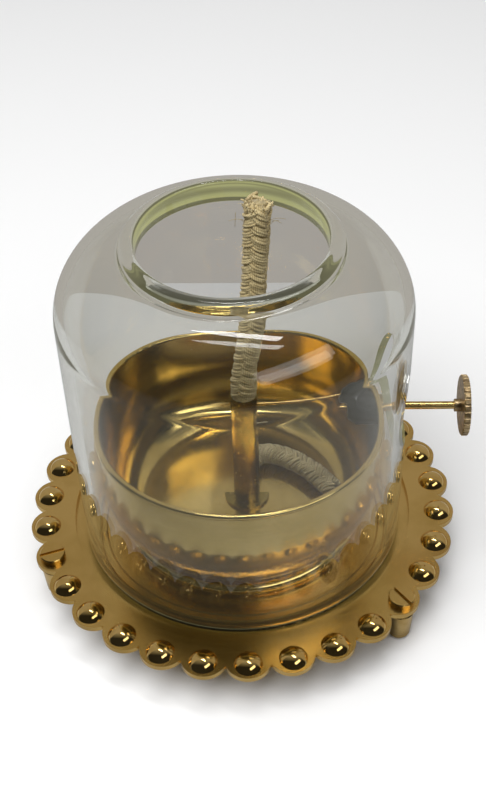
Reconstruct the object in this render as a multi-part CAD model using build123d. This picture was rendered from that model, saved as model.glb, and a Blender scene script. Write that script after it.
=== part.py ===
from build123d import *
import math
import os

# Oil lamp: beaded brass saucer on three feet, spun bowl, wick tube with a knob-driven wick
# raiser, and a borosilicate chimney with a side hole for the spindle.
# Row frame: millimetres, +Z up, origin on the table under the lamp's axis, spindle along +X.

# Feet and saucer
footHeight = 14.0
plateThickness = 1.6
deck = footHeight + plateThickness
lobeCount = 30
lobeCircle = 60.3
lobeRadius = 6.9
hubDiscRadius = 62.7
beadCircle = 62.1
beadRadius = 4.2
beadHeight = 2.5
firstLobe = 9.04
screwAzimuths = {"front_right": -38.96, "left": -158.96, "back": 81.04}
slotAngles = {"front_right": -52.0, "left": 20.0, "back": 65.0}
grooveOuter = 53.3
grooveDepth = 1.6
pressedThickness = 1.4
collarRadius = 46.1
collarRise = 0.5
ridgeRadii = (43.7, 45.7)
ridgeSize = 0.35

# Screws that hold the feet
screwHeadRadius = 3.9
screwHeadHeight = 1.9
screwShank = 2.0
screwLength = 9.0
slotWidth = 1.0
slotDepth = 0.9
shankClearance = 0.2

# Bowl
bowlBase = deck + 4.6
bowlHeight = deck + 43.0
bowlRadius = 43.0
bowlWall = 1.2
bowlFloorRadius = 30.0
bowlCornerRise = 22.0
rimBead = 0.9
footRingInner = 27.0
footRingRound = 2.05
footRingCentre = 35.25
studRadius = 2.5

# Wick tube and wick
tubeX = 1.8
tubeOuter = 4.1
tubeInner = 3.6
tubeTop = deck + 47.0
floorTop = bowlBase + bowlWall
wickRadius = 3.5
wickBottom = deck + 24.0
wickTop = deck + 116.2
tailLift = 0.1
windowTop = deck + 17.0

# Wick raiser
spindleY = 6.0
spindleZ = deck + 36.9
thinRadius = 0.65
rodRadius = 1.2
runningGap = 0.05
shoulderX = 35.6
spindleStart = tubeX - 3.0
wheelRadius = 2.3
wheelWidth = 1.6
wheelTeeth = 8
glandBodyRadius = 4.9
glandBarrel = 3.0
glandNose = 33.2
glandEnd = 44.6
knobRadius = 9.3
knobInnerFace = 67.1
knobOuterFace = 69.1
knobTeeth = 30
hubRadius = 1.95
hubStart = 65.2

# Glass chimney
glassRadius = 50.0
glassWall = 3.3
glassFoot = deck - grooveDepth
glassTop = deck + 101.4
shoulderWidth = 24.5
shoulderHeight = 20.8
mouthRadius = 26.0
rimFoot = 31.5
rimTop = deck + 104.0
rimUnder = 4.2
sideHoleRadius = 16.3
sideHoleZ = deck + 49.0


def atAzimuth(radius, degrees):
    a = math.radians(degrees)
    return radius * math.cos(a), radius * math.sin(a)


def turned(edges):
    # Solid of revolution about Z from a closed outline drawn in the XZ plane.
    with BuildPart() as p:
        with BuildSketch(Plane.XZ):
            with BuildLine():
                edges()
            make_face()
        revolve(axis=Axis.Z)
    return p.part


def ring(outer, inner, low, high, x=0.0, y=0.0):
    body = Cylinder(outer, high - low) - Cylinder(inner, (high - low) * 3)
    return Pos(x, y, (low + high) / 2) * body


def disc(radius, low, high, x=0.0, y=0.0):
    return Pos(x, y, (low + high) / 2) * Cylinder(radius, high - low)


def barX(radius, start, end, y=spindleY, z=spindleZ):
    return Pos((start + end) / 2, y, z) * Rot(0, 90, 0) * Cylinder(radius, end - start)


def basePlate():
    # Scalloped rim: one disc with a round lobe at each bead, then the pressed middle.
    low = deck - plateThickness
    rim = disc(hubDiscRadius, low, deck)
    for i in range(lobeCount):
        x, y = atAzimuth(lobeCircle, firstLobe + i * 360 / lobeCount)
        rim = rim + disc(lobeRadius, low, deck, x, y)
    rim = rim - disc(grooveOuter, low - 1, deck + 1)
    floor = deck - grooveDepth
    under = floor - pressedThickness
    top = deck + collarRise

    def outline():
        Polyline(
            (studRadius + 0.2, top), (collarRadius, top), (collarRadius, floor),
            (grooveOuter, floor), (grooveOuter, deck), (grooveOuter + 1.4, deck),
            (grooveOuter + 1.4, low), (grooveOuter + 1.4, under), (collarRadius - 1.4, under),
            (collarRadius - 1.4, top - pressedThickness),
            (studRadius + 0.2, top - pressedThickness), (studRadius + 0.2, top))

    plate = rim + turned(outline)
    for radius in ridgeRadii:
        def bead(r=radius):
            Polyline((r - ridgeSize, top - 0.1), (r + ridgeSize, top - 0.1),
                     (r, top + ridgeSize), (r - ridgeSize, top - 0.1))
        plate = plate + turned(bead)
    for azimuth in screwAzimuths.values():
        x, y = atAzimuth(beadCircle, azimuth)
        plate = plate - disc(screwShank + shankClearance, low - 1, deck + 1, x, y)
    return plate


def rimBeads():
    # Low polished domes on the lobes that carry no screw: each the cap of a ball.
    ball = (beadRadius ** 2 + beadHeight ** 2) / (2 * beadHeight)
    dome = Pos(0, 0, beadHeight - ball) * Sphere(ball)
    dome = dome - Pos(0, 0, -ball) * Box(4 * ball, 4 * ball, 2 * ball)
    domes = []
    for i in range(lobeCount):
        azimuth = firstLobe + i * 360 / lobeCount
        near = [abs((azimuth - s + 180) % 360 - 180) < 1 for s in screwAzimuths.values()]
        if not any(near):
            x, y = atAzimuth(beadCircle, azimuth)
            domes.append(Pos(x, y, deck) * dome)
    return Compound(children=domes)


def footScrew(name):
    x, y = atAzimuth(beadCircle, screwAzimuths[name])
    head = disc(screwHeadRadius, 0, screwHeadHeight)
    head = chamfer(head.edges().sort_by(Axis.Z)[-1], 0.25)
    head = head - Pos(0, 0, screwHeadHeight) * Rot(0, 0, slotAngles[name]) * Box(
        screwHeadRadius * 3, slotWidth, slotDepth * 2)
    return Pos(x, y, deck) * (head + disc(screwShank, -screwLength, 0))


def foot(name):
    x, y = atAzimuth(beadCircle, screwAzimuths[name])

    def outline():
        ThreePointArc((2.0, 0.0), (2.95, 0.75), (3.3, 2.6))
        Polyline((3.3, 2.6), (3.5, 3.2), (4.0, 11.2), (3.4, 11.8), (3.4, footHeight),
                 (0, footHeight), (0, 0), (2.0, 0.0))

    body = turned(outline) - disc(screwShank, footHeight - screwLength + plateThickness - 0.6,
                                  footHeight + 1)
    return Pos(x, y, 0) * body


def bowl():
    # Spun bowl: flat floor, elliptical lower corner, near-upright wall, rolled rim.
    corner = bowlRadius - bowlFloorRadius
    mid = bowlBase + bowlCornerRise
    wallTop = bowlHeight - rimBead

    def outline():
        EllipticalCenterArc((bowlFloorRadius, mid), corner, bowlCornerRise,
                            start_angle=270, arc_size=90)
        Line((bowlRadius, mid), (bowlRadius, wallTop))
        Line((bowlRadius, wallTop), (bowlRadius - bowlWall, wallTop))
        Line((bowlRadius - bowlWall, wallTop), (bowlRadius - bowlWall, mid))
        EllipticalCenterArc((bowlFloorRadius, mid), corner - bowlWall,
                            bowlCornerRise - bowlWall, start_angle=270, arc_size=90)
        Polyline((bowlFloorRadius, floorTop), (0, floorTop), (0, bowlBase),
                 (bowlFloorRadius, bowlBase))

    body = turned(outline)
    roll = Pos(0, 0, bowlHeight - rimBead) * Torus(bowlRadius - 0.25, rimBead)
    return body + roll - barX(glandBarrel, bowlRadius - 8, bowlRadius + 4)


def bowlFootRing():
    low = deck + collarRise
    mid = (low + bowlBase) / 2
    body = ring(footRingCentre, footRingInner, low, bowlBase)
    return body + Pos(0, 0, mid) * Torus(footRingCentre, (bowlBase - low) / 2)


def bowlStud():
    return disc(studRadius, deck - 7.4, bowlBase)


def bowlWasher():
    top = deck + collarRise - pressedThickness
    return ring(5.5, studRadius + 0.2, top - 1.0, top)


def bowlNut():
    top = deck + collarRise - pressedThickness - 1.0
    with BuildPart() as p:
        with BuildSketch(Plane.XY.offset(top - 4.0)):
            RegularPolygon(radius=4.0, side_count=6, major_radius=False)
            Circle(studRadius, mode=Mode.SUBTRACT)
        extrude(amount=4.0)
    return p.part


def wickTube():
    # Thin tube on the bowl floor, with a window behind its foot that lets the wick in
    # and a slot behind it for the feed wheel.
    tube = ring(tubeOuter, tubeInner, floorTop, tubeTop, tubeX, 0)
    window = Pos(tubeX, 3.0, (floorTop + windowTop) / 2) * Box(
        7.4, 6.0, windowTop - floorTop + 0.001)
    slot = Pos(tubeX, 3.0, spindleZ) * Box(wheelWidth + 0.6, 6.0, 2 * wheelRadius + 0.8)
    return tube - window - slot


def wickTubeFoot():
    # Half-moon flange brazed round the front of the tube.
    flange = ring(7.0, tubeOuter, floorTop, floorTop + 0.9, tubeX, 0)
    return flange - Pos(tubeX, 6.0, floorTop + 0.5) * Box(20, 12.0, 3)


def spindleBracket():
    # Folded box on the back of the tube; its two ears carry the spindle.
    outer = Pos(tubeX, 6.3, spindleZ) * Box(4.2, 6.0, 6.2)
    inner = Pos(tubeX, 5.9, spindleZ) * Box(wheelWidth + 0.6, 5.4, 8.0)
    body = outer - inner - disc(tubeOuter, deck + 20, deck + 50, tubeX, 0)
    return body - barX(thinRadius + runningGap, tubeX - 5, tubeX + 5)


def spindle():
    thin = barX(thinRadius, spindleStart, shoulderX + 1)
    thick = barX(rodRadius, shoulderX, knobOuterFace)
    return thin + thick


def feedWheel():
    wheel = Cylinder(wheelRadius, wheelWidth)
    for i in range(wheelTeeth):
        x, y = atAzimuth(wheelRadius + 0.15, i * 360 / wheelTeeth)
        wheel = wheel - Pos(x, y, 0) * Cylinder(0.55, wheelWidth * 2)
    wheel = wheel - Cylinder(thinRadius, wheelWidth * 2)
    return Pos(tubeX, spindleY, spindleZ) * Rot(0, 90, 0) * wheel


def gland():
    # Dark sealing bush: chamfered body against the inside of the bowl wall, barrel through it.
    def outline():
        Polyline((0, 0), (3.1, 0), (glandBodyRadius - 0.4, 1.9), (glandBodyRadius, 2.5),
                 (glandBodyRadius, 9.0), (0, 9.0), (0, 0))

    body = Pos(glandNose, spindleY, spindleZ) * Rot(0, 90, 0) * turned(outline)
    body = body & disc(bowlRadius - bowlWall, deck, deck + 60)
    body = body + barX(glandBarrel, glandNose + 4, glandEnd)
    body = body - barX(thinRadius + runningGap, glandNose - 5, shoulderX)
    return body - barX(rodRadius + runningGap, shoulderX - 0.1, glandEnd + 5)


def glandNut():
    body = barX(4.1, 41.0, glandEnd) - barX(glandBarrel, 30, glandEnd + 5)
    return body - disc(bowlRadius, deck, deck + 60)


def knob():
    wheel = Cylinder(knobRadius, knobOuterFace - knobInnerFace)
    wheel = chamfer(wheel.edges(), 0.3)
    for i in range(knobTeeth):
        x, y = atAzimuth(knobRadius + 0.2, i * 360 / knobTeeth)
        wheel = wheel - Pos(x, y, 0) * Cylinder(0.55, 10)
    wheel = wheel - Cylinder(rodRadius, 10)
    middle = (knobInnerFace + knobOuterFace) / 2
    return Pos(middle, spindleY, spindleZ) * Rot(0, 90, 0) * wheel


def knobHub():
    body = barX(hubRadius, hubStart, knobInnerFace)
    return body - barX(rodRadius, hubStart - 1, knobInnerFace + 1)


def wickRope(points, radii):
    path = FilletPolyline(*points, radius=radii)
    section = Plane(origin=path @ 0, z_dir=path % 0) * Circle(wickRadius)
    return sweep(section, path=path)


def softRadii(points):
    # Each bend as large as its two runs allow.
    radii = []
    for i in range(1, len(points) - 1):
        before = Vector(*points[i]) - Vector(*points[i - 1])
        after = Vector(*points[i + 1]) - Vector(*points[i])
        turn = math.radians(before.get_angle(after))
        radii.append(0.45 * min(before.length, after.length) / math.tan(turn / 2))
    return radii


def wick():
    # Braided wick: straight in the tube, leaning a little towards the knob above it.
    points = [
        (tubeX, 0, wickBottom), (tubeX, 0, deck + 56.5), (tubeX + 2.4, 0, deck + 72),
        (tubeX + 4.0, 0, deck + 89), (tubeX + 5.4, 0, wickTop)]
    radii = softRadii(points)
    print("wick bend radii", [round(r) for r in radii])
    return wickRope(points, radii)


def wickTail():
    # The rest of the wick, out of the window behind the tube and round the bowl floor.
    z = floorTop + wickRadius + tailLift
    points = [
        (tubeX, 0, z + 6.1), (tubeX, 0, z), (tubeX + 0.3, 12.2, z), (8.6, 15.2, z),
        (17.0, 11.6, z), (24.0, 5.6, z), (29.4, -2.0, z)]
    radii = softRadii(points)
    radii[0] = 6.0
    print("tail bend radii", [round(r, 1) for r in radii])
    return wickRope(points, radii)


def glassChimney():
    # Cylinder drawn in at the top by an elliptical shoulder to a wide round mouth, whose
    # thick fire-rounded rim stands a little above the shoulder.
    centre = glassRadius - shoulderWidth
    spring = glassTop - shoulderHeight
    inner = glassRadius - glassWall
    innerWidth = inner - mouthRadius
    innerHeight = shoulderHeight - rimUnder
    outerSweep = math.degrees(math.acos((rimFoot - centre) / shoulderWidth))
    innerSweep = math.degrees(math.acos(1.8 / innerWidth))

    def outline():
        Line((inner, glassFoot), (glassRadius, glassFoot))
        Line((glassRadius, glassFoot), (glassRadius, spring))
        shoulder = EllipticalCenterArc((centre, spring), shoulderWidth, shoulderHeight,
                                       start_angle=0, arc_size=outerSweep)
        Spline(shoulder @ 1, (rimFoot - 1.4, rimTop - 1.7), (mouthRadius + 2.4, rimTop - 0.05),
               (mouthRadius + 0.9, rimTop - 0.2), (mouthRadius, rimTop - 1.7),
               tangents=[(-1, 0.5), (0, -1)])
        Line((mouthRadius, rimTop - 1.7), (mouthRadius, glassTop - rimUnder + 1.5))
        under = EllipticalCenterArc((mouthRadius, spring), innerWidth, innerHeight,
                                    start_angle=0, arc_size=innerSweep)
        Spline((mouthRadius, glassTop - rimUnder + 1.5),
               (mouthRadius + 0.5, glassTop - rimUnder + 0.45), under @ 1,
               tangents=[(0, -1), (1, 0)])
        Line((inner, spring), (inner, glassFoot))

    body = turned(outline)
    hole = barX(sideHoleRadius, glassRadius - 15, glassRadius + 5, 0, sideHoleZ)
    return body - hole


def main():
    nodes = {
        "base_plate": basePlate(), "rim_beads": rimBeads(), "bowl": bowl(),
        "bowl_foot_ring": bowlFootRing(), "bowl_stud": bowlStud(),
        "bowl_washer": bowlWasher(), "bowl_nut": bowlNut(), "wick_tube": wickTube(),
        "wick_tube_foot": wickTubeFoot(), "spindle_bracket": spindleBracket(),
        "spindle": spindle(), "feed_wheel": feedWheel(), "gland": gland(),
        "gland_nut": glandNut(), "knob": knob(), "knob_hub": knobHub(), "wick": wick(),
        "wick_tail": wickTail(), "glass_chimney": glassChimney()}
    for name in screwAzimuths:
        nodes["foot_screw_" + name] = footScrew(name)
        nodes["foot_" + name] = foot(name)
    os.makedirs("parts", exist_ok=True)
    for name, shape in nodes.items():
        export_step(shape, "parts/" + name + ".step")
        print(name, round(shape.volume, 1))


main()
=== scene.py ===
import bpy
import bmesh
import math
import numpy as np
from mathutils import Matrix, Vector


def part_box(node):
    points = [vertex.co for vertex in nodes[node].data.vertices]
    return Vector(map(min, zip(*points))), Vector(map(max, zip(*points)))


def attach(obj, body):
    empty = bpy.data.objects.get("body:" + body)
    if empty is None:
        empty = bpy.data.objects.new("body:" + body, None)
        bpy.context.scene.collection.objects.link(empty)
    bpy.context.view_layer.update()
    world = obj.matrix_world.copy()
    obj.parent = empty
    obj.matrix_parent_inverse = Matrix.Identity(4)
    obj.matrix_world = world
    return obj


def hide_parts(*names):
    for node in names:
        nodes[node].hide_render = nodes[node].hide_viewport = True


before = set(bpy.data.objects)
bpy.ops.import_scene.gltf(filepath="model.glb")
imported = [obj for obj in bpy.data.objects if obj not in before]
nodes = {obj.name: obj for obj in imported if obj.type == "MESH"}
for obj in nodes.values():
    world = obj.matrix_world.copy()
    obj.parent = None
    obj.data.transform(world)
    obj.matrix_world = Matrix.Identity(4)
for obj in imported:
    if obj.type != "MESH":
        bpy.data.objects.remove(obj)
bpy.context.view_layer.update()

mm = 0.001
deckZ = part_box("foot_screw_left")[1].z - 1.9 * mm   # flat top of the saucer
print("frame loaded:", len(nodes), "nodes, deck at", round(deckZ / mm, 2), "mm")


# ---- meshes

def addMesh(name, points, faces, sharp=None):
    # points: (n, 3) array in metres; faces: (m, 4) or (m, 3) index array.
    mesh = bpy.data.meshes.new(name)
    size = faces.shape[1]
    mesh.vertices.add(len(points))
    mesh.vertices.foreach_set("co", points.astype(np.float32).ravel())
    mesh.loops.add(faces.size)
    mesh.loops.foreach_set("vertex_index", faces.astype(np.int32).ravel())
    mesh.polygons.add(len(faces))
    mesh.polygons.foreach_set("loop_start", np.arange(len(faces), dtype=np.int32) * size)
    mesh.polygons.foreach_set("use_smooth", np.ones(len(faces), dtype=bool))
    mesh.update(calc_edges=True)
    mesh.validate()
    if sharp is not None:
        mesh.set_sharp_from_angle(angle=math.radians(sharp))
    piece = bpy.data.objects.new(name, mesh)
    bpy.context.scene.collection.objects.link(piece)
    return piece


def gridFaces(rows, columns, wrapRows=False, wrapColumns=False, start=0):
    # Quads (i, j) (i+1, j) (i+1, j+1) (i, j+1) of a rows by columns grid of points.
    i = np.arange(rows if wrapRows else rows - 1)[:, None]
    j = np.arange(columns if wrapColumns else columns - 1)[None, :]
    i2, j2 = (i + 1) % rows, (j + 1) % columns
    quads = np.stack([i * columns + j, i2 * columns + j, i2 * columns + j2, i * columns + j2], -1)
    return quads.reshape(-1, 4) + start


def splineLine(points):
    # The smooth line a NURBS curve draws through control points given in millimetres.
    curve = bpy.data.curves.new("route", "CURVE")
    curve.dimensions = "3D"
    spline = curve.splines.new("NURBS")
    spline.points.add(len(points) - 1)
    for point, place in zip(spline.points, points):
        point.co = (*place, 1)
    spline.order_u = 3
    spline.use_endpoint_u = True
    curve.resolution_u = 24
    holder = bpy.data.objects.new("route", curve)
    mesh = bpy.data.meshes.new_from_object(holder)
    line = np.empty(len(mesh.vertices) * 3)
    mesh.vertices.foreach_get("co", line)
    bpy.data.objects.remove(holder)
    bpy.data.meshes.remove(mesh)
    return line.reshape(-1, 3)


def evenLine(line, count):
    # The same line at evenly spaced distances s, with its length.
    s = np.concatenate([[0], np.cumsum(np.linalg.norm(np.diff(line, axis=0), axis=1))])
    even = np.linspace(0, s[-1], count)
    return np.stack([np.interp(even, s, line[:, k]) for k in range(line.shape[1])], 1), even


def lathePoints(profile, turns):
    # x = r cos a, y = r sin a, z = z for each profile point (r, z) and each angle a.
    profile = np.asarray(profile, float)
    a = np.linspace(0, 2 * math.pi, turns, endpoint=False)[:, None]
    r, z = profile[None, :, 0], profile[None, :, 1]
    return np.stack([r * np.cos(a), r * np.sin(a), np.broadcast_to(z, (turns, len(profile)))], -1)


# ---- materials

def newMaterial(name):
    material = bpy.data.materials.new(name)
    material.use_nodes = True
    tree = material.node_tree
    return material, tree, tree.nodes["Principled BSDF"]


def addNode(tree, kind, links=None, **values):
    # A node with its settings: names of sockets set their values, other names set properties.
    node = tree.nodes.new(kind)
    for key, value in values.items():
        socket = node.inputs.get(key.replace("_", " "))
        if socket is not None and not hasattr(type(node), key):
            socket.default_value = value
        else:
            setattr(node, key, value)
    for key, source in (links or {}).items():
        tree.links.new(source, node.inputs[key])
    return node


def ramp(tree, source, stops):
    # Colours or greys at places between 0 and 1.
    node = addNode(tree, "ShaderNodeValToRGB", {"Fac": source})
    elements = node.color_ramp.elements
    while len(elements) < len(stops):
        elements.new(0.5)
    for element, (place, colour) in zip(elements, stops):
        element.position = place
        element.color = (*colour, 1) if isinstance(colour, tuple) else (colour, colour, colour, 1)
    return node.outputs["Color"]


def math2(tree, operation, first, second):
    node = tree.nodes.new("ShaderNodeMath")
    node.operation = operation
    for socket, value in zip(node.inputs, (first, second)):
        if isinstance(value, (int, float)):
            socket.default_value = value
        elif value is not None:
            tree.links.new(value, socket)
    return node.outputs[0]


def brass(name, style):
    # Brass: tone drifts in soft patches, roughness follows fine grain, and turned marks
    # run round the z axis (noise of radius and height, slow in angle).
    material, tree, shader = newMaterial(name)
    where = addNode(tree, "ShaderNodeTexCoord").outputs["Object"]
    patches = addNode(tree, "ShaderNodeTexNoise", {"Vector": where}, Scale=style["patch"],
                      Detail=5.0, Roughness=0.6).outputs["Fac"]
    fine = addNode(tree, "ShaderNodeTexNoise", {"Vector": where}, Scale=style["grain"],
                   Detail=3.0, Roughness=0.6).outputs["Fac"]
    tone = ramp(tree, patches, [(0.34, style["dark"]), (0.60, style["light"])])
    tree.links.new(tone, shader.inputs["Base Color"])
    cut = addNode(tree, "ShaderNodeSeparateXYZ", {"Vector": where})
    x, y, z = cut.outputs
    radius = math2(tree, "SQRT", math2(tree, "ADD", math2(tree, "MULTIPLY", x, x),
                                       math2(tree, "MULTIPLY", y, y)), None)
    angle = math2(tree, "ARCTAN2", y, x)
    turned = addNode(tree, "ShaderNodeCombineXYZ",
                     {"X": math2(tree, "MULTIPLY", radius, style["marks"]),
                      "Y": math2(tree, "MULTIPLY", angle, 1.2),
                      "Z": math2(tree, "MULTIPLY", z, style["marks"])})
    lines = addNode(tree, "ShaderNodeTexNoise", {"Vector": turned.outputs[0]}, Scale=1.0,
                    Detail=4.0, Roughness=0.65).outputs["Fac"]
    mixed = math2(tree, "ADD", math2(tree, "MULTIPLY", lines, style["lineShare"]),
                  math2(tree, "MULTIPLY", fine, 1 - style["lineShare"]))
    polish = ramp(tree, mixed, [(0.32, style["smooth"]), (0.70, style["rough"])])
    tree.links.new(polish, shader.inputs["Roughness"])
    relief = addNode(tree, "ShaderNodeBump", {"Height": mixed}, Strength=style["bump"],
                     Distance=0.03 * mm)
    tree.links.new(relief.outputs["Normal"], shader.inputs["Normal"])
    shader.inputs["Metallic"].default_value = 1.0
    return material


def coat(material, *names):
    for name in names:
        mesh = nodes[name].data
        mesh.materials.clear()
        mesh.materials.append(material)


satinBrass = brass("satinBrass", {
    "light": (0.74, 0.50, 0.17), "dark": (0.60, 0.39, 0.11), "smooth": 0.20, "rough": 0.28,
    "grain": 1400, "patch": 45, "marks": 2600, "lineShare": 0.5, "bump": 0.10})
domeBrass = brass("domeBrass", {
    "light": (0.82, 0.58, 0.22), "dark": (0.66, 0.43, 0.13), "smooth": 0.05, "rough": 0.12,
    "grain": 900, "patch": 160, "marks": 1500, "lineShare": 0.1, "bump": 0.12})
bowlBrass = brass("bowlBrass", {
    "light": (0.78, 0.60, 0.24), "dark": (0.62, 0.45, 0.13), "smooth": 0.10, "rough": 0.22,
    "grain": 1200, "patch": 35, "marks": 1800, "lineShare": 0.7, "bump": 0.25})
# the wick tube's brass is darker than the rest: painted shade for the dim inside of the bowl
shadedTubeBrass = brass("shadedTubeBrass", {
    "light": (0.42, 0.32, 0.09), "dark": (0.28, 0.20, 0.05), "smooth": 0.16, "rough": 0.30,
    "grain": 1200, "patch": 120, "marks": 500, "lineShare": 0.3, "bump": 0.2})
turnedBrass = brass("turnedBrass", {
    "light": (0.76, 0.54, 0.22), "dark": (0.58, 0.38, 0.12), "smooth": 0.14, "rough": 0.30,
    "grain": 1500, "patch": 150, "marks": 3000, "lineShare": 0.5, "bump": 0.3})
agedBrass = brass("agedBrass", {
    "light": (0.62, 0.47, 0.26), "dark": (0.27, 0.19, 0.10), "smooth": 0.26, "rough": 0.46,
    "grain": 1800, "patch": 520, "marks": 1800, "lineShare": 0.2, "bump": 0.6})

blackRubber, tree, shader = newMaterial("blackRubber")
where = addNode(tree, "ShaderNodeTexCoord").outputs["Object"]
dust = addNode(tree, "ShaderNodeTexNoise", {"Vector": where}, Scale=900.0, Detail=4.0).outputs["Fac"]
tree.links.new(ramp(tree, dust, [(0.35, (0.010, 0.010, 0.011)), (0.75, (0.030, 0.029, 0.030))]),
               shader.inputs["Base Color"])
tree.links.new(ramp(tree, dust, [(0.3, 0.40), (0.7, 0.62)]), shader.inputs["Roughness"])
relief = addNode(tree, "ShaderNodeBump", {"Height": dust}, Strength=0.3, Distance=0.05 * mm)
tree.links.new(relief.outputs["Normal"], shader.inputs["Normal"])

clearGlass, tree, shader = newMaterial("clearGlass")
shader.inputs["Base Color"].default_value = (1.0, 1.0, 1.0, 1)
shader.inputs["IOR"].default_value = 1.47
shader.inputs["Transmission Weight"].default_value = 1.0
where = addNode(tree, "ShaderNodeTexCoord").outputs["Object"]
smear = addNode(tree, "ShaderNodeTexNoise", {"Vector": where}, Scale=55.0, Detail=3.0).outputs["Fac"]
tree.links.new(ramp(tree, smear, [(0.45, 0.0), (0.8, 0.015)]), shader.inputs["Roughness"])
# absorption tints the glass olive green; an emission inside the glass is a painted glow standing in
# for light that wanders a long way inside the thick rim and comes out olive green
tint = addNode(tree, "ShaderNodeVolumeAbsorption", Color=(0.80, 0.88, 0.55, 1), Density=14.0)
paintedGlow = addNode(tree, "ShaderNodeEmission", Color=(0.86, 0.82, 0.48, 1), Strength=4.2)
both = tree.nodes.new("ShaderNodeAddShader")
tree.links.new(tint.outputs[0], both.inputs[0])
tree.links.new(paintedGlow.outputs[0], both.inputs[1])
tree.links.new(both.outputs[0], tree.nodes["Material Output"].inputs["Volume"])


def cottonMaterial(name, pale, deep):
    # Twisted cotton yarn: fibres wind round each strand along its own UV map.
    material, tree, shader = newMaterial(name)
    yarn = addNode(tree, "ShaderNodeUVMap", uv_map="yarn").outputs["UV"]
    where = addNode(tree, "ShaderNodeTexCoord").outputs["Object"]
    fibres = addNode(tree, "ShaderNodeTexWave", {"Vector": yarn}, wave_type="BANDS",
                     bands_direction="DIAGONAL", Scale=1.1, Distortion=2.2, Detail=3.0)
    fibres.inputs["Detail Scale"].default_value = 2.0
    fuzz = addNode(tree, "ShaderNodeTexNoise", {"Vector": where}, Scale=2600.0, Detail=4.0)
    blotch = addNode(tree, "ShaderNodeTexNoise", {"Vector": where}, Scale=300.0, Detail=3.0)
    height = math2(tree, "ADD", math2(tree, "MULTIPLY", fibres.outputs["Fac"], 0.6),
                   math2(tree, "MULTIPLY", fuzz.outputs["Fac"], 0.4))
    # colour: partly painted shade, darker where the fibre height is low in the grooves, and partly
    # random blotches of tone
    grooveShadeAndBlotch = math2(tree, "ADD", math2(tree, "MULTIPLY", height, 0.55),
                  math2(tree, "MULTIPLY", blotch.outputs["Fac"], 0.45))
    tree.links.new(ramp(tree, grooveShadeAndBlotch, [(0.30, deep), (0.66, pale)]), shader.inputs["Base Color"])
    relief = addNode(tree, "ShaderNodeBump", {"Height": height}, Strength=0.8, Distance=0.12 * mm)
    tree.links.new(relief.outputs["Normal"], shader.inputs["Normal"])
    shader.inputs["Roughness"].default_value = 0.9
    shader.inputs["Specular IOR Level"].default_value = 0.2
    shader.inputs["Sheen Weight"].default_value = 0.15
    return material


wickCotton = cottonMaterial("wickCotton", (0.76, 0.64, 0.36), (0.36, 0.26, 0.11))
tailCotton = cottonMaterial("tailCotton", (0.64, 0.55, 0.33), (0.27, 0.21, 0.10))

coat(satinBrass, "base_plate", "foot_screw_front_right", "foot_screw_left", "foot_screw_back")
coat(domeBrass, "rim_beads")
coat(bowlBrass, "bowl", "bowl_foot_ring")
coat(shadedTubeBrass, "wick_tube", "wick_tube_foot")
coat(turnedBrass, "foot_front_right", "foot_left", "foot_back", "bowl_stud", "bowl_washer",
     "bowl_nut", "spindle_bracket", "spindle", "feed_wheel", "gland_nut")
coat(agedBrass, "knob", "knob_hub")
coat(blackRubber, "gland")
coat(clearGlass, "glass_chimney")
coat(wickCotton, "wick")
coat(tailCotton, "wick_tail")
print("materials made")

# ---- stage, light and camera

studio = {"floorTone": 0.90, "tableTone": 0.56, "tableDrop": 0.2, "wallTone": (0.375, 0.355, 0.335),
          "wallY": 0.138, "wallHeight": 0.9, "far": 3.0, "aim": (0, 0, 0.05),
          "keyPlace": (0.03, 0.06, 0.95), "keySize": (0.50, 0.07), "keyPower": 1.9,
          "fillPlace": (-0.3, -0.35, 1.1), "fillSize": (0.9, 0.9), "fillPower": 13.0,
          "windowPlace": (0.50, -0.50, 0.74), "windowSize": (0.75, 0.26), "windowPower": 1.5,
          "roomLow": 0.025, "roomHigh": 0.34}


def panel(name, corners, tone, glow=None):
    # A flat sheet of the stage: matte, or glowing evenly with the given colour.
    material, tree, shader = newMaterial(name + "Paint")
    shader.inputs["Base Color"].default_value = (tone, tone, tone, 1)
    shader.inputs["Roughness"].default_value = 0.9
    shader.inputs["Specular IOR Level"].default_value = 0.0
    if glow:
        shader.inputs["Emission Color"].default_value = (*glow, 1)
        shader.inputs["Emission Strength"].default_value = 1.0
    piece = addMesh(name, np.array(corners, float), np.array([[0, 1, 2, 3]]))
    piece.data.materials.append(material)
    return piece


def unseenBy(piece, *rays):
    for ray in rays:
        setattr(piece, "visible_" + ray, False)


def sheetAt(height):
    return [(-far, -far, height), (far, -far, height), (far, far, height), (-far, far, height)]


# the pale floor is what the camera sees; brass and glass reflect a greyer table and a wall
far, wallY, wallTop = studio["far"], studio["wallY"], studio["wallHeight"]
floor = panel("floor", sheetAt(0), studio["floorTone"])
unseenBy(floor, "transmission", "glossy", "shadow")
tableTop = panel("tableTop", sheetAt(-studio["tableDrop"] * mm), studio["tableTone"])
unseenBy(tableTop, "camera", "shadow", "diffuse")
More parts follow.
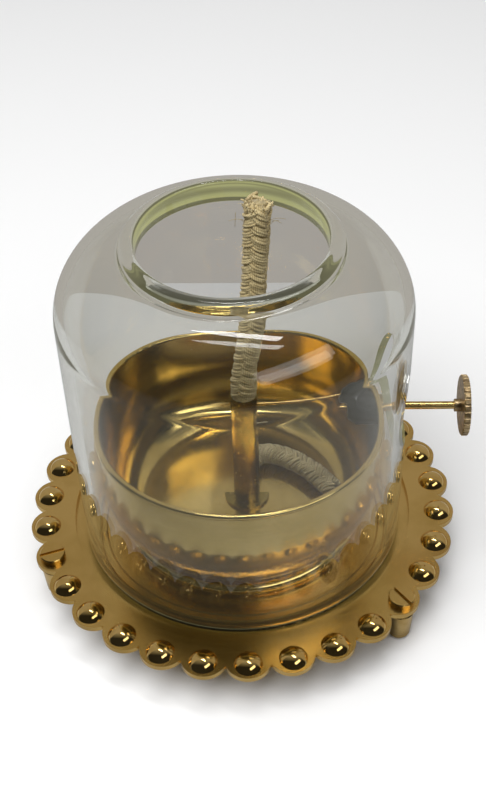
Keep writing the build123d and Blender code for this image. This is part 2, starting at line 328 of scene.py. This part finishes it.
# painted shade: the table's tone in front is darkened away from the lamp, most of all to the left,
# for the shade that falls there
tree = tableTop.data.materials[0].node_tree
spot = addNode(tree, "ShaderNodeTexCoord").outputs["Object"]
reach = addNode(tree, "ShaderNodeVectorMath", {"Vector": spot}, operation="LENGTH").outputs["Value"]
away = addNode(tree, "ShaderNodeMapRange", {"Value": reach}, From_Min=0.066, From_Max=0.090)
spot = addNode(tree, "ShaderNodeSeparateXYZ", {"Vector": spot})
ahead = addNode(tree, "ShaderNodeMapRange", {"Value": spot.outputs["Y"]}, From_Min=0.0,
                From_Max=-0.05)
leftward = addNode(tree, "ShaderNodeMapRange", {"Value": spot.outputs["X"]}, From_Min=0.10,
                   From_Max=-0.10, To_Min=0.25, To_Max=0.65)
dim = math2(tree, "MULTIPLY", ahead.outputs[0], away.outputs[0])
dim = math2(tree, "MULTIPLY", dim, leftward.outputs[0])
shadedTableTone = math2(tree, "MULTIPLY", math2(tree, "SUBTRACT", 1.0, dim), studio["tableTone"])
tree.links.new(shadedTableTone, tree.nodes["Principled BSDF"].inputs["Base Color"])
wall = panel("backdrop", [(-far, wallY, 0), (far, wallY, 0), (far, wallY, wallTop),
                          (-far, wallY, wallTop)], 0.0, studio["wallTone"])
unseenBy(wall, "camera", "shadow", "diffuse")

world = bpy.data.worlds.new("studioRoom")
bpy.context.scene.world = world
world.use_nodes = True
background = world.node_tree.nodes["Background"]
# dim in front and low down, brighter overhead and behind
heading = addNode(world.node_tree, "ShaderNodeTexCoord").outputs["Generated"]
heading = addNode(world.node_tree, "ShaderNodeSeparateXYZ", {"Vector": heading}).outputs
upBack = math2(world.node_tree, "ADD", math2(world.node_tree, "MULTIPLY", heading["Z"], 0.55),
               math2(world.node_tree, "MULTIPLY", heading["Y"], 0.75))
glow = ramp(world.node_tree, upBack, [(0.15, studio["roomLow"]), (0.70, studio["roomHigh"])])
world.node_tree.links.new(glow, background.inputs["Color"])


def softbox(name):
    # A rectangular area light aimed at the lamp, with its place, size and power from studio.
    place = studio[name + "Place"]
    data = bpy.data.lights.new(name + "Light", "AREA")
    data.shape = "RECTANGLE"
    data.size, data.size_y = studio[name + "Size"]
    data.energy = studio[name + "Power"]
    lamp = bpy.data.objects.new(name + "Light", data)
    lamp.location = place
    lamp.rotation_euler = (Vector(studio["aim"]) - Vector(place)).to_track_quat("-Z", "Y").to_euler()
    bpy.context.scene.collection.objects.link(lamp)
    return lamp


softbox("key")
softbox("window")
unseenBy(softbox("fill"), "glossy", "transmission")

view = {"elevation": 42.57, "turn": 2.66, "distance": 370.8, "aimX": 1.54, "aimZ": 44.8,
        "roll": -2.04, "lens": 56.22, "sensor": 36}


def makeCamera():
    # Looks from the front at the given elevation, rolled a little, all turned about z.
    e, r = math.radians(view["elevation"]), math.radians(view["roll"])
    back = Vector((0, -math.cos(e), math.sin(e)))
    right, up = Vector((1, 0, 0)), Vector((0, math.sin(e), math.cos(e)))
    tiltedRight = right * math.cos(r) + up * math.sin(r)
    tiltedUp = up * math.cos(r) - right * math.sin(r)
    aim = Vector((view["aimX"] * mm, 0, view["aimZ"] * mm + deckZ))
    place = aim + back * view["distance"] * mm
    spin = Matrix.Rotation(math.radians(view["turn"]), 4, "Z")
    axes = Matrix((tiltedRight, tiltedUp, back)).transposed().to_4x4()
    data = bpy.data.cameras.new("camera")
    data.lens = view["lens"]
    data.sensor_width = view["sensor"]
    data.clip_start, data.clip_end = 0.01, 20
    camera = bpy.data.objects.new("camera", data)
    camera.matrix_world = spin @ Matrix.Translation(place) @ axes
    bpy.context.scene.collection.objects.link(camera)
    bpy.context.scene.camera = camera


makeCamera()
scene = bpy.context.scene
scene.view_settings.view_transform = "Standard"
scene.cycles.max_bounces = 24              # light runs a long way inside the glass
scene.cycles.transmission_bounces = 24
print("stage, light and camera set")

# ---- glass chimney

glass = {"outer": 50.0, "wall": 3.3, "foot": -1.6, "top": 101.4, "shoulderWide": 24.5,
         "shoulderHigh": 20.8, "mouth": 26.0, "rimFoot": 31.5, "rimTop": 104.0, "rimUnder": 4.2,
         "rimCurve": [(30.6, -2.35), (29.7, -0.5), (27.6, 0.3), (26.3, -0.1), (26.0, -1.6),
                      (26.0, -3.2)],
         "arcSteps": 44, "lipSteps": 60, "footRound": 0.6, "holeRadius": 16.3, "holeZ": 49.0,
         "turns": 288, "windowColumns": 42, "windowRows": 42, "windowHalf": 21.0, "rings": 14}


def ellipseArc(centreR, centreZ, wide, high, endR, count):
    # From the spring line, r = centre + wide cos t, z = centre + high sin t, in to radius endR.
    end = math.acos((endR - centreR) / wide)
    t = np.linspace(0, end, count)
    return np.stack([centreR + wide * np.cos(t), centreZ + high * np.sin(t)], 1)


def roundCorner(before, corner, after, radius, count=4):
    # Quadratic arc from the side towards before to the side towards after.
    before, corner, after = (np.array(p, float) for p in (before, corner, after))
    a = corner + (before - corner) / np.linalg.norm(before - corner) * radius
    b = corner + (after - corner) / np.linalg.norm(after - corner) * radius
    t = np.linspace(0, 1, count)[:, None]
    return (1 - t) ** 2 * a + 2 * t * (1 - t) * corner + t ** 2 * b


def makeGlass():
    g = glass
    inner = g["outer"] - g["wall"]
    spring = g["top"] - g["shoulderHigh"]
    centre = g["outer"] - g["shoulderWide"]
    lowZ, highZ = g["holeZ"] - g["windowHalf"], g["holeZ"] + g["windowHalf"]
    window = np.linspace(lowZ, highZ, g["windowRows"] + 1)

    def side(radius):
        # Heights of the straight wall: coarse, then even steps past the hole, then coarse.
        z = np.concatenate([np.linspace(g["foot"] + g["footRound"], lowZ, 6)[:-1], window,
                            np.linspace(highZ, spring, 5)[1:-1]])
        return np.stack([np.full(len(z), radius), z], 1)

    outerArc = ellipseArc(centre, spring, g["shoulderWide"], g["shoulderHigh"], g["rimFoot"],
                          g["arcSteps"])
    innerArc = ellipseArc(g["mouth"], spring, inner - g["mouth"], g["shoulderHigh"] - g["rimUnder"],
                          g["mouth"] + 1.8, g["arcSteps"])
    rim = [outerArc[-1], *((r, g["rimTop"] + z) for r, z in g["rimCurve"]),
           (g["mouth"], innerArc[-1, 1] + 1.7), (g["mouth"] + 0.1, innerArc[-1, 1] + 0.1),
           innerArc[-1]]
    lip = splineLine([(r, 0, z) for r, z in rim])[:, ::2]
    lip = evenLine(lip, g["lipSteps"])[0]
    lowIn, lowOut = (inner, g["foot"]), (g["outer"], g["foot"])
    footIn = roundCorner((inner, 10), lowIn, lowOut, g["footRound"])
    footOut = roundCorner(lowIn, lowOut, (g["outer"], 10), g["footRound"])
    outerSide, innerSide = side(g["outer"]), side(inner)
    profile = np.concatenate([outerSide, outerArc, lip[1:-1], innerArc[::-1],
                              innerSide[::-1], footIn[1:], footOut[:-1]])
    rows = len(profile)
    outerLow = 5                                  # row of the window's lower edge, outside
    innerHigh = rows - len(footIn) - len(footOut) + 2 - len(innerSide) + 3
    points = lathePoints(profile, g["turns"])     # (turn, row)
    faces = gridFaces(g["turns"], rows, True, True)
    half = g["windowColumns"] // 2
    turn, row = np.divmod(np.arange(g["turns"] * rows), rows)
    inWindow = (turn < half) | (turn >= g["turns"] - half)
    inOuter = (row >= outerLow) & (row < outerLow + g["windowRows"])
    inInner = (row >= innerHigh) & (row < innerHigh + g["windowRows"])
    faces = faces[~(inWindow & (inOuter | inInner))]

    # Border of a window, once round: bottom, right, top, left, as (turn, row) steps.
    c, r = g["windowColumns"], g["windowRows"]
    across, upward = np.arange(c), np.arange(r)
    steps = np.concatenate([
        np.stack([across, 0 * across], 1), np.stack([0 * upward + c, upward], 1),
        np.stack([c - across, 0 * across + r], 1), np.stack([0 * upward, r - upward], 1)])
    turnAt = (steps[:, 0] - half) % g["turns"]

    def holePatch(radius, rowAt, start):
        # Rings between the border and the hole: (angle, height) = (1 - u) border + u circle.
        border = turnAt * rows + rowAt
        angle = (steps[:, 0] - half) * 2 * math.pi / g["turns"]
        z = profile[rowAt, 1]
        bearing = np.arctan2(z - g["holeZ"], angle * radius)
        ringAngle = np.arcsin(g["holeRadius"] * np.cos(bearing) / radius)
        ringZ = g["holeZ"] + g["holeRadius"] * np.sin(bearing)
        u = np.linspace(0, 1, g["rings"] + 1)[1:, None]
        a, h = (1 - u) * angle + u * ringAngle, (1 - u) * z + u * ringZ
        patch = np.stack([radius * np.cos(a), radius * np.sin(a), h], -1).reshape(-1, 3)
        index = start + np.arange(patch.shape[0]).reshape(g["rings"], -1)
        index = np.concatenate([border[None], index])
        nextOne = np.roll(index, -1, 1)
        quads = np.stack([index[:-1], nextOne[:-1], nextOne[1:], index[1:]], -1).reshape(-1, 4)
        return patch, quads, index[-1]

    base = points.reshape(-1, 3)
    outerPatch, outerQuads, outerRing = holePatch(g["outer"], outerLow + steps[:, 1], len(base))
    innerPatch, innerQuads, innerRing = holePatch(inner, innerHigh + r - steps[:, 1],
                                                  len(base) + len(outerPatch))
    walls = np.stack([outerRing, np.roll(outerRing, -1), np.roll(innerRing, -1), innerRing], -1)
    allPoints = np.concatenate([base, outerPatch, innerPatch]) * mm
    allPoints[:, 2] += deckZ
    allFaces = np.concatenate([faces, outerQuads, innerQuads[:, ::-1], walls])
    piece = addMesh("glass_dome", allPoints, allFaces, sharp=40)
    piece.data.materials.append(clearGlass)
    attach(piece, "chimney")
    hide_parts("glass_chimney")
    edit = bmesh.new()
    edit.from_mesh(piece.data)
    print("glass open edges:", sum(not e.is_manifold for e in edit.edges),
          "volume cm3:", round(edit.calc_volume(signed=True) * 1e6, 2))
    edit.free()


makeGlass()
print("glass made")

# ---- wick

braid = {"strands": 4, "plies": 3, "plyGap": 0.74, "pitch": 12.0, "ring": 2.72, "weave": 0.42,
         "yarnWide": 0.50, "yarnThick": 0.50, "sides": 6, "perPitch": 60, "core": 2.2,
         "wanderOut": 0.10, "wanderAlong": 0.16}


def frameAlong(line, guide):
    # Across = guide x tangent, up = tangent x across, for every point of the line.
    tangent = np.gradient(line, axis=0)
    tangent /= np.linalg.norm(tangent, axis=1, keepdims=True)
    across = np.cross(guide, tangent)
    across /= np.linalg.norm(across, axis=1, keepdims=True)
    return tangent, across, np.cross(tangent, across)


def tube(path, wide, thick, outward, sides):
    # An oval carried along each path: point + wide cos a * side + thick sin a * outward.
    # path and outward: (strand, step, 3); wide and thick: (strand, step).
    tangent = np.gradient(path, axis=1)
    tangent /= np.linalg.norm(tangent, axis=2, keepdims=True)
    side = np.cross(tangent, outward)
    side /= np.linalg.norm(side, axis=2, keepdims=True)
    out = np.cross(side, tangent)
    a = np.linspace(0, 2 * math.pi, sides, endpoint=False)
    skin = (path[:, :, None] + (wide[..., None] * np.cos(a))[..., None] * side[:, :, None]
            + (thick[..., None] * np.sin(a))[..., None] * out[:, :, None])
    strands, steps = path.shape[:2]
    block = gridFaces(steps, sides, False, True)
    quads = np.concatenate([block + k * steps * sides for k in range(strands)])
    ends = np.stack([path[:, 0], path[:, -1]], 1).reshape(-1, 3)      # closing points
    first = np.arange(strands)[:, None] * steps * sides + np.arange(sides)[None]
    last = first + (steps - 1) * sides
    tip = skin.size // 3 + 2 * np.arange(strands)[:, None] + np.zeros_like(first)
    capA = np.stack([first, np.roll(first, -1, 1), tip], -1).reshape(-1, 3)
    capB = np.stack([np.roll(last, -1, 1), last, tip + 1], -1).reshape(-1, 3)
    u = np.broadcast_to(np.arange(sides) / sides, (strands, steps, sides))
    return skin.reshape(-1, 3), ends, quads, np.concatenate([capA, capB]), u


def addStrands(name, parts, material, body, node):
    # One mesh from several groups of tubes; the yarn UV map is (round, along).
    points, quads, triangles, uvs, start = [], [], [], [], 0
    for path, wide, thick, outward, sides in parts:
        skin, ends, quad, cap, u = tube(path, wide, thick, outward, sides)
        run = np.concatenate([np.zeros((len(path), 1)),
                              np.cumsum(np.linalg.norm(np.diff(path, axis=1), axis=2), 1)], 1)
        v = np.broadcast_to(run[:, :, None], u.shape)
        uv = np.stack([u * 2.4, v], -1).reshape(-1, 2)
        uvs.append(np.concatenate([uv, np.zeros((len(ends), 2))]))
        points.append(np.concatenate([skin, ends]))
        quads.append(quad + start)
        triangles.append(cap + start)
        start += len(skin) + len(ends)
    points = np.concatenate(points) * mm
    points[:, 2] += deckZ
    quads, triangles = np.concatenate(quads), np.concatenate(triangles)
    mesh = bpy.data.meshes.new(name)
    mesh.vertices.add(len(points))
    mesh.vertices.foreach_set("co", points.astype(np.float32).ravel())
    corners = np.concatenate([quads.ravel(), triangles.ravel()])
    mesh.loops.add(len(corners))
    mesh.loops.foreach_set("vertex_index", corners.astype(np.int32))
    starts = np.concatenate([np.arange(len(quads)) * 4,
                             len(quads) * 4 + np.arange(len(triangles)) * 3])
    mesh.polygons.add(len(starts))
    mesh.polygons.foreach_set("loop_start", starts.astype(np.int32))
    mesh.polygons.foreach_set("use_smooth", np.ones(len(starts), dtype=bool))
    mesh.update(calc_edges=True)
    layer = mesh.uv_layers.new(name="yarn")
    layer.data.foreach_set("uv", np.concatenate(uvs)[corners].astype(np.float32).ravel())
    mesh.materials.append(material)
    piece = bpy.data.objects.new(name, mesh)
    bpy.context.scene.collection.objects.link(piece)
    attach(piece, body)
    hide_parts(node)
    print(name, "faces", len(starts))


def braidParts(line, guide, girth, fray=None, seed=3):
    # Strand k of hand h winds at angle h 2 pi s / pitch + 2 pi k / n. Its distance from the
    # middle is ring + weave * over, where over swaps every two crossings. Each strand is a
    # few plies side by side, and every ply wanders a little by a sum of slow sines.
    b = braid
    n = b["strands"]
    rng = np.random.default_rng(seed)
    length = np.linalg.norm(np.diff(line, axis=0), axis=1).sum()
    line, s = evenLine(line, int(length / b["pitch"] * b["perPitch"]))
    tangent, across, up = frameAlong(line, guide)
    swell = girth(s / length)
    ply = np.repeat(np.arange(b["plies"]) - (b["plies"] - 1) / 2, n)[:, None]
    k = np.tile(np.arange(n), b["plies"])[:, None]

    def wander(size):
        waves = rng.uniform(0.25, 1.1, (4, len(k), 1)) * s + rng.uniform(0, 6.3, (4, len(k), 1))
        return size * np.sin(waves).sum(0) / 1.6

    parts = []
    for hand in (1, -1):
        angle = hand * 2 * math.pi * s / b["pitch"] + 2 * math.pi * k / n
        crossing = 2 * n * s / b["pitch"]
        phase = crossing + 2 * k if hand > 0 else 2 * k - crossing
        over = hand * np.clip(1.4 * np.cos(math.pi / 2 * (phase - 0.5)), -1, 1)
        distance = (b["ring"] + b["weave"] * over - 0.10 * ply ** 2) * swell
        distance = distance + wander(b["wanderOut"])
        if fray is not None:
            distance, angle = fray(distance, angle, s / length, k + 1.7 * ply, hand)
        outward = (np.cos(angle)[..., None] * across + np.sin(angle)[..., None] * up)
        path = line + distance[..., None] * outward
        side = np.cross(np.gradient(path, axis=1), outward)
        side /= np.linalg.norm(side, axis=2, keepdims=True)
        path = path + (ply * b["plyGap"] * swell + wander(b["wanderAlong"]))[..., None] * side
        wide = np.full(path.shape[:2], b["yarnWide"]) * swell
        thick = np.full(path.shape[:2], b["yarnThick"]) * swell
        parts.append((path, wide, thick, outward, b["sides"]))
    core = line[None, ::6]
    flat = np.full((1, core.shape[1]), b["core"])
    parts.append((core, flat, flat, across[None, ::6], 16))
    return parts, line, (tangent, across, up)


wick = {"route": [(1.8, 0, 24.0), (1.8, 0, 40.0), (1.8, 0, 56.5), (4.2, 0, 72.0), (5.8, 0, 89.0),
                  (7.1, 0, 114.0)],
        "guide": (0.0, 1.0, 0.0), "bulge": 0.12, "bulgeAt": 0.30, "bulgeLong": 0.06,
        "frayFrom": 0.945, "ends": 110, "endSteps": 9, "endRadius": 3.3, "endDrop": (1.0, 6.5),
        "endSize": (0.13, 0.30), "hairSteps": 12, "hairSize": 0.07, "seed": 7}


def wickGirth(t):
    # Full size in the tube, a bulge just above it, back to size higher up.
    bulge = wick["bulge"] * np.exp(-((t - wick["bulgeAt"]) / wick["bulgeLong"]) ** 2) * (t > 0.2)
    return 0.96 + bulge + 0.05 * np.clip((t - 0.3) / 0.2, 0, 1) * (1 + 0.5 * np.sin(t * 23))


def wickFray(distance, angle, t, k, hand):
    # Near the top the strands stop winding evenly and open out.
    opened = np.clip((t - wick["frayFrom"]) / (1 - wick["frayFrom"]), 0, 1)
    wander = np.sin(5.1 * k + 2.0 * hand)
    distance = distance * (1 + opened * (0.22 + 0.20 * wander))
    distance = distance - opened ** 2 * (0.7 + 1.0 * np.cos(7.3 * k))
    return distance, angle + opened * 0.5 * wander


def looseFibres(line, axes, rng):
    # Fine ends: each leaves the braid's top and curls, a quadratic of its own parameter t.
    tangent, across, up = (axis[-1] for axis in axes)
    count, steps = wick["ends"], wick["endSteps"]
    t = np.linspace(0, 1, steps)[None, :, None]
    a = rng.uniform(0, 2 * math.pi, count)
    radius = np.sqrt(rng.uniform(0.02, 1, count)) * wick["endRadius"]
    drop = rng.uniform(*wick["endDrop"], count)
    outward = np.cos(a)[:, None] * across + np.sin(a)[:, None] * up
    start = line[-1] + radius[:, None] * outward - drop[:, None] * tangent
    rise = (drop + rng.uniform(-1.2, 0.7, count))[:, None] * tangent
    spread = (rng.uniform(0.1, 1.5, count) * radius / wick["endRadius"])[:, None] * outward
    sway = rng.normal(0, 0.7, (count, 3))
    path = (start[:, None] + rise[:, None] * t + spread[:, None] * t ** 2
            + sway[:, None] * t * (1 - t) * 1.6)
    size = np.broadcast_to(rng.uniform(*wick["endSize"], count)[:, None], path.shape[:2])
    return (path, size, size * 0.8, np.broadcast_to(outward[:, None], path.shape), 5)


def strayHairs(line):
    # A few long thin hairs that stand out sideways below the top.
    t = np.linspace(0, 1, wick["hairSteps"])[None, :, None]
    start = line[-1] + np.array([(-3.0, -1.0, -4.6), (-3.0, -1.5, -5.0), (3.2, -1.2, -4.4),
                                 (3.2, -1.0, -4.9), (3.0, -2.0, -5.4), (-6.0, -1.0, -6.4)])
    reach = np.array([(-4.6, 0, 0.0), (-3.2, 0, 1.2), (4.2, 0, 0.3), (3.0, 0, -0.6), (2.6, 0, 1.5),
                      (0.3, 0, 4.4)])
    path = start[:, None] + reach[:, None] * t + np.array([0, 0, 0.5]) * np.sin(math.pi * t)
    size = np.full(path.shape[:2], wick["hairSize"])
    outward = np.broadcast_to(np.array([0.0, 1.0, 0.05]), path.shape)
    return (path, size, size, outward, 4)


parts, line, axes = braidParts(splineLine(wick["route"]), wick["guide"], wickGirth, wickFray)
rng = np.random.default_rng(wick["seed"])
parts += [looseFibres(line, axes, rng), strayHairs(line)]
addStrands("wick_braid", parts, wickCotton, "wick", "wick")

tail = {"route": [(1.8, 0, 15.5), (1.8, 0, 9.4), (2.1, 12.2, 9.4), (8.6, 15.2, 9.4),
                  (17.0, 11.6, 9.4), (24.0, 5.6, 9.4), (29.4, -2.0, 9.4)],
        "guide": (-0.6, -0.2, 0.77)}
parts, line, axes = braidParts(splineLine(tail["route"]), tail["guide"],
                               lambda t: 0.95 + 0.03 * np.sin(9 * t))
addStrands("wick_tail_braid", parts, tailCotton, "lamp", "wick_tail")
print("wick made")
